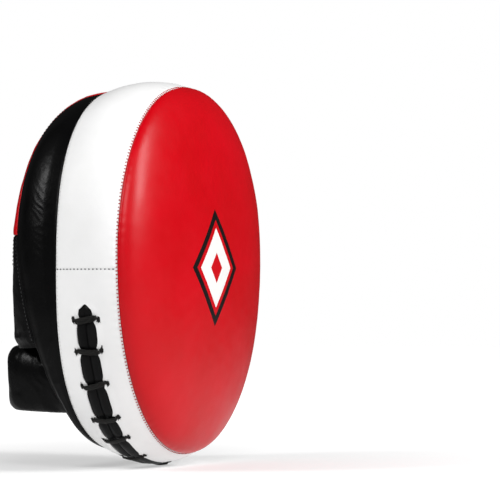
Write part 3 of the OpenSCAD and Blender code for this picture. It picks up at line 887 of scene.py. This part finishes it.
def cuff():
    """The roll starts a little slim, is blown up as cloth between its two seams, and then gets its creases."""
    points = cuff_shell()
    out = normals_of(points)
    out *= np.sign(((points - points.mean((0, 1))) * out).sum())
    start = (points - 0.6 * out).reshape(-1, 3)
    roll = clean(mesh_object("cuff_leather", start, tube_faces(*points.shape[:2]), BLACK))
    voxels = roll.modifiers.new("voxels", "REMESH")
    voxels.mode = "VOXEL"
    voxels.voxel_size = CLOTH_CELL * MM
    voxels.use_smooth_shade = True
    own_mesh(roll)
    feet = values(roll)[:, 1] < pad_middle.y + (HALF_DEPTH + 4) * MM
    blown_up(roll, feet, CLOTH_PRESSURE, CLOTH_CAP)
    smooth = roll.modifiers.new("smooth", "SUBSURF")
    smooth.levels = 2
    own_mesh(roll)
    at = (values(roll) - np.array(pad_middle)) / MM
    side = ramp(np.abs(at[:, 0]), 72, 97)
    up = (at[:, 2] - (cuff_low[2] + cuff_high[2]) / 2) * 2 / (cuff_high[2] - cuff_low[2])
    near_board = 1 - ramp(at[:, 1] - HALF_DEPTH, 18, 58)
    folds = creases(at, 13, 71, (0.1, 0.5, 0.9), 3.5)
    wrinkles = creases(at, 8, 75, (0.1, 0.3, 1.0), 3.0) * ramp(up, 0.0, 0.7)
    shape = 0.35 * waves(at, 46, 73, 1) + side * (0.75 * near_board * folds + 0.22 * wrinkles) - 0.2
    at = at + values(roll, "normal") * shape[:, None]
    at[:, 0] -= np.sign(at[:, 0]) * side * (6.5 * np.clip(up, 0, 1) ** 1.8 + 3.0 * np.clip(-up, 0, 1) ** 2)
    at[:, 1] = np.maximum(at[:, 1], HALF_DEPTH + 0.1)
    roll.data.vertices.foreach_set("co", to_row(at).ravel())
    roll.data.update()
    stand_in(roll, "black_leather", "wrist_cuff", "cuff_padding", fill=0.85)


# ---- The hand side
def pocket_lining():
    z, u = np.meshgrid(graded((-60, 120, 142), (120, 40)), np.linspace(0.1, 179.9, 200), indexing="ij")
    plain = cover_point(u, z, 10.6)
    points = plain + normals_of(plain) * (0.5 * waves(plain, 30, 81, 2) - 0.4)[..., None]
    skin = clean(grid_object("pocket_cloth", points, LINING))
    stand_in(thicken(skin, LINING_THICK), "lining", "pocket_lining")


def cuff_lining():
    rise = cuff_high[1] - HALF_DEPTH - CUFF_THICK
    steps, zs = np.linspace(0, 1, 200), np.linspace(cuff_low[2] + 1.5, cuff_high[2] - 1.5, 50)
    ring, way = arch(OPEN_HALF, rise, OPEN_CORNER, steps)
    flare = 1.6 * ramp(np.abs(zs - zs.mean()), 20, 30)
    flat = ring[:, None] + way[:, None] * (flare - 0.5)[None, :, None]
    points = on_board(flat, zs)
    points[..., 1] = np.maximum(points[..., 1], HALF_DEPTH + 0.2)
    points[..., :2] += way[:, None] * (0.35 * waves(points, 16, 83, 2))[..., None]
    skin = clean(grid_object("cuff_cloth", points, LINING))
    stand_in(thicken(skin, LINING_THICK, 1.0), "lining", "cuff_lining")


def palm_grip():
    """The stuffed ball under the palm, with its gores drawn in along their seams."""
    low, high = node_box("palm_grip")
    cx, cz, rise = (low[0] + high[0]) / 2, (low[2] + high[2]) / 2, high[1] - low[1]
    radius = (high[0] - low[0]) / 2
    a, g = np.meshgrid(np.linspace(0, 360, 240, endpoint=False), np.linspace(1, 0, 90), indexing="ij")
    r = np.radians(a)
    y = low[1] + 0.3 + rise * np.clip(1 - g ** 2.3, 0, 1) ** 0.8
    gores = np.abs(np.sin(3 * r))
    y = y - 0.9 * bump(gores * g * radius / 3.2, 1.0) * ramp(g, 0.06, 0.2) * ramp(1 - g, 0, 0.1)
    points = np.stack([cx + radius * g * np.cos(r), y, cz + radius * g * np.sin(r)], -1)
    points[..., 1] += 0.3 * waves(points, 22, 85, 2) * ramp(1 - g, 0, 0.1)
    ball = clean(grid_object("palm_ball", points, BLACK, wrap_rows=True), 1e-5)
    stand_in(ball, "black_leather", "palm_grip", fill=0.9)


def palm_lining():
    """The cloth behind the palm keeps its CAD outline and gets a quilted relief of its own."""
    low, high = node_box("palm_lining")
    corner, tongue = 55.0, OPEN_HALF - 3
    zs = np.linspace(low[2], high[2], 170)
    above = np.maximum(zs - (high[2] - corner), 0)
    half = high[0] - corner + np.sqrt(np.clip(corner ** 2 - above ** 2, 0, None))
    half = np.where(zs < cuff_high[2] + 3, tongue, half)
    z, t = np.meshgrid(zs, np.linspace(-1, 1, 170), indexing="ij")
    x = t * half[:, None]
    edge = np.minimum(np.minimum(half[:, None] - np.abs(x), z - low[2]), high[2] - z)
    y = HALF_DEPTH + 0.3 + 1.6 * ramp(edge, 0, 5)
    y = y - 0.7 * (bump((x + z) % 24 - 12, 1.0) + bump((x - z) % 24 - 12, 1.0)) * ramp(edge, 3, 8)
    points = np.stack([x, y, z], -1)
    grip_low, grip_high = node_box("palm_grip")
    cz, radius = (grip_low[2] + grip_high[2]) / 2, (grip_high[0] - grip_low[0]) / 2
    points[..., 1] -= 1.5 * (np.hypot(points[..., 0], points[..., 2] - cz) < radius)
    stand_in(clean(grid_object("palm_cloth", points, LINING)), "lining", "palm_lining")


# ---- The wrist strap
def flat_band(name, low, high, radius, material, puff=0.35):
    """A flat sewn band with soft edges, a slight wave and, where it has a radius, a rounded free end."""
    t = graded((0, 0.02, 1), (12, 120))
    x = low[0] + (high[0] - low[0]) * t
    half = np.full_like(t, (high[2] - low[2]) / 2)
    if radius:
        to_round = np.maximum(radius - (x - low[0]), 0)
        half = np.sqrt(np.clip(radius ** 2 - to_round ** 2, 0, None))
    phi = np.linspace(0, 2 * math.pi, 80, endpoint=False)
    c = np.sign(np.cos(phi)) * np.abs(np.cos(phi)) ** 0.55
    s = np.sign(np.sin(phi)) * np.abs(np.sin(phi)) ** 0.35
    thick, middle = (high[1] - low[1]) / 2, (high + low) / 2
    z = middle[2] + half[:, None] * c[None]
    y = np.broadcast_to(middle[1] + 0.98 * thick * s[None], z.shape)
    points = np.stack([np.broadcast_to(x[:, None], z.shape), y, z], -1)
    points[..., 1] += 0.12 * puff * waves(points, 14, 91, 2)
    return clean(mesh_object(name, points.reshape(-1, 3), tube_faces(*points.shape[:2]), material))


def edge_path(low, high, radius, inset, y, closed_end=False):
    """A stitch line set in from a band's edges, round its free end."""
    cz, r = (low[2] + high[2]) / 2, (high[2] - low[2]) / 2 - inset
    x_end = high[0] - inset if closed_end else high[0] - 0.5
    if radius:
        phi = np.linspace(math.pi / 2, 3 * math.pi / 2, 60)
        tip = np.stack([low[0] + radius + r * np.cos(phi), np.full(60, y), cz + r * np.sin(phi)], 1)
    else:
        tip = np.array([[low[0] + inset, y, cz + r], [low[0] + inset, y, cz - r]])
    first, last = np.array([[x_end, y, cz + r]]), np.array([[x_end, y, cz - r]])
    path = np.concatenate([first, tip, last] + ([first] if closed_end else []))
    fine = [path[:1]]
    for p, q in zip(path[:-1], path[1:]):
        count = max(2, int(np.linalg.norm(q - p) / 1.0))
        fine.append(p + (q - p) * np.linspace(0, 1, count)[1:, None])
    return np.concatenate(fine)


def sewn_line(name, path, material, body, out=1, pitch=3.2):
    spots, way = along_path(path, pitch)
    outs = np.tile([0.0, out, 0.0], (len(spots), 1))
    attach(stitches(name, spots, way, outs, 0.72 * pitch, 0.75, material, lift=0.12, jitter=0.04), body)


def wrist_strap():
    """The strap with its edge stitches, and the two halves of its hook and loop tape."""
    low, high = node_box("wrist_strap")
    radius = (high[2] - low[2]) / 2
    band = flat_band("strap_webbing", low, high, radius, STRAP)
    stand_in(band, "strap_webbing", "wrist_strap", body="strap")
    sewn_line("strap_edge_thread", edge_path(low, high, radius, 2.6, high[1]), GREY_THREAD, "strap")
    for node, name, material, slot, body, out in (
            ("hook_patch", "hook_pile", HOOK, "hook_tape", "strap", -1),
            ("loop_patch", "loop_pile", LOOP, "loop_tape", "mitt", 1)):
        low, high = node_box(node)
        stand_in(flat_band(name, low, high, 0, material, 1.0), slot, node, body=body)
        edge = edge_path(low, high, 0, 1.8, high[1] if out > 0 else low[1], True)
        sewn_line(name + "_thread", edge, BLACK_THREAD, body, out)


def strap_anchor():
    """The sewn end of the strap, with a box of stitches and a cross in it."""
    low, high = node_box("strap_anchor")
    stand_in(flat_band("anchor_webbing", low, high, 0, STRAP), "black_leather", "strap_anchor")
    inset = 2.6
    sewn_line("anchor_box_thread", edge_path(low, high, 0, inset, high[1], True), GREY_THREAD, "mitt")
    bottom, top = low[2] + inset, high[2] - inset
    for n, (z0, z1) in enumerate(((bottom, top), (top, bottom))):
        p, q = np.array([[low[0] + inset, high[1], z0], [high[0] - inset, high[1], z1]])
        sewn_line(f"anchor_cross_thread_{n}", p + (q - p) * np.linspace(0, 1, 30)[:, None], GREY_THREAD, "mitt")


# ---- Pieces that keep their CAD mesh
def kept_nodes():
    cream = foam("soft_foam_look", (0.62, 0.52, 0.34), (0.86, 0.78, 0.60), 500)
    grey = foam("dense_foam_look", (0.20, 0.22, 0.24), (0.34, 0.37, 0.40), 700)
    dark = foam("dark_foam_and_gap_shade_look", (0.05, 0.055, 0.065), (0.11, 0.12, 0.14), 700)
    board = foam("board_look", (0.34, 0.21, 0.10), (0.58, 0.40, 0.22), 260)
    felt = foam("wadding_look", (0.45, 0.42, 0.36), (0.74, 0.70, 0.62), 900)
    # The dorsal and gusset paddings take the dark foam: partly the black lining of such pads, partly painted
    # shade, so that where they show in the gaps between the cover's panels they look like the shade of a crease.
    looks = {"face_padding": cream, "impact_foam": grey, "shock_foam": dark, "backing_board": board,
             "palm_side_foam": cream, "edge_wadding": felt, "back_panel": GRAINY, "hood_padding": cream,
             "dorsal_padding": dark, "gusset_padding_pinky": dark, "gusset_padding_thumb": dark}
    for name, material in looks.items():
        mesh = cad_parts[name].data
        mesh.materials.clear()
        mesh.materials.append(material)


# ---- The studio
SURROUND = 0.04


def floor():
    """A matt floor that the camera sees as paper, lighter with distance, and that lights the mitt a little."""
    bpy.ops.mesh.primitive_plane_add(size=12, location=(0, 0, -0.0005))
    plane = bpy.context.object
    plane.name = "floor"
    m = Nodes("floor")
    place = m.tree.nodes.new("ShaderNodeVectorMath")
    place.operation = "LENGTH"
    m.link(m.coord, place.inputs[0])
    m.finish((0.5, 0.5, 0.5), 0.8, 0.0)
    m.bsdf.inputs["Emission Color"].default_value = (1, 1, 1, 1)
    seen = m.tree.nodes.new("ShaderNodeLightPath").outputs["Is Camera Ray"]
    away = place.outputs["Value"]
    backdrop = m.math("MULTIPLY", m.fit(away, 0.1, 0.9, 0.45, 1.0), seen)
    glow = m.math("MULTIPLY", m.fit(away, 0.25, 0.8, 0.46, 0.0), m.math("SUBTRACT", 1.0, seen))
    m.link(m.math("ADD", backdrop, glow), m.bsdf.inputs["Emission Strength"])
    plane.data.materials.append(m.material)


def area_light(name, way, distance, width, height, power):
    """A rectangular light that looks at the pad's middle, in the direction way from it."""
    data = bpy.data.lights.new(name, "AREA")
    data.shape = "RECTANGLE"
    data.size, data.size_y = width, height
    data.energy = power
    light = bpy.data.objects.new(name, data)
    light.location = pad_middle + Vector(way).normalized() * distance
    light.rotation_euler = (pad_middle - light.location).to_track_quat("-Z", "Y").to_euler()
    bpy.context.scene.collection.objects.link(light)


def surround():
    """A white backdrop for the camera, and dim even surroundings for everything that the lights don't reach."""
    world = bpy.data.worlds.new("studio")
    world.use_nodes = True
    nodes, links = world.node_tree.nodes, world.node_tree.links
    fade = nodes.new("ShaderNodeMapRange")
    for key, value in (("To Min", SURROUND), ("To Max", 1.0)):
        fade.inputs[key].default_value = value
    links.new(nodes.new("ShaderNodeLightPath").outputs["Is Camera Ray"], fade.inputs["Value"])
    links.new(fade.outputs["Result"], nodes["Background"].inputs["Strength"])
    nodes["Background"].inputs["Color"].default_value = (1, 1, 1, 1)
    bpy.context.scene.world = world


def studio():
    floor()
    surround()
    bpy.context.scene.view_settings.view_transform = "Standard"
    area_light("key", (0.02, -0.85, 0.52), 1.8, 0.5, 1.1, 30)
    area_light("fill", (-0.74, -0.44, 0.50), 2.6, 0.9, 0.9, 26)
    area_light("rim", (-0.62, 0.54, 0.52), 2.2, 0.5, 0.6, 25)


def camera():
    """The photograph's view: from the laced side, level with the mitt, through a long lens."""
    azimuth, elevation, distance = math.radians(-65.7), math.radians(-0.46), 2.703
    back = Vector((math.sin(azimuth), -math.cos(azimuth), math.tan(elevation))).normalized()
    data = bpy.data.cameras.new("camera")
    data.lens, data.sensor_width = 225, 36
    data.shift_x, data.shift_y = 0.184, 0.041
    cam = bpy.data.objects.new("camera", data)
    cam.location = pad_middle + back * distance
    cam.rotation_euler = back.to_track_quat("Z", "Y").to_euler()
    bpy.context.scene.collection.objects.link(cam)
    bpy.context.scene.camera = cam


strike_face()
side_wall_upper()
side_wall_lower()
seam_stitches()
lace_facings()
lace()
lace_holes()
hood()
dorsal_panel()
gussets()
ridge_stitches()
cover_end()
cuff()
pocket_lining()
cuff_lining()
palm_grip()
palm_lining()
wrist_strap()
strap_anchor()
kept_nodes()
studio()
camera()
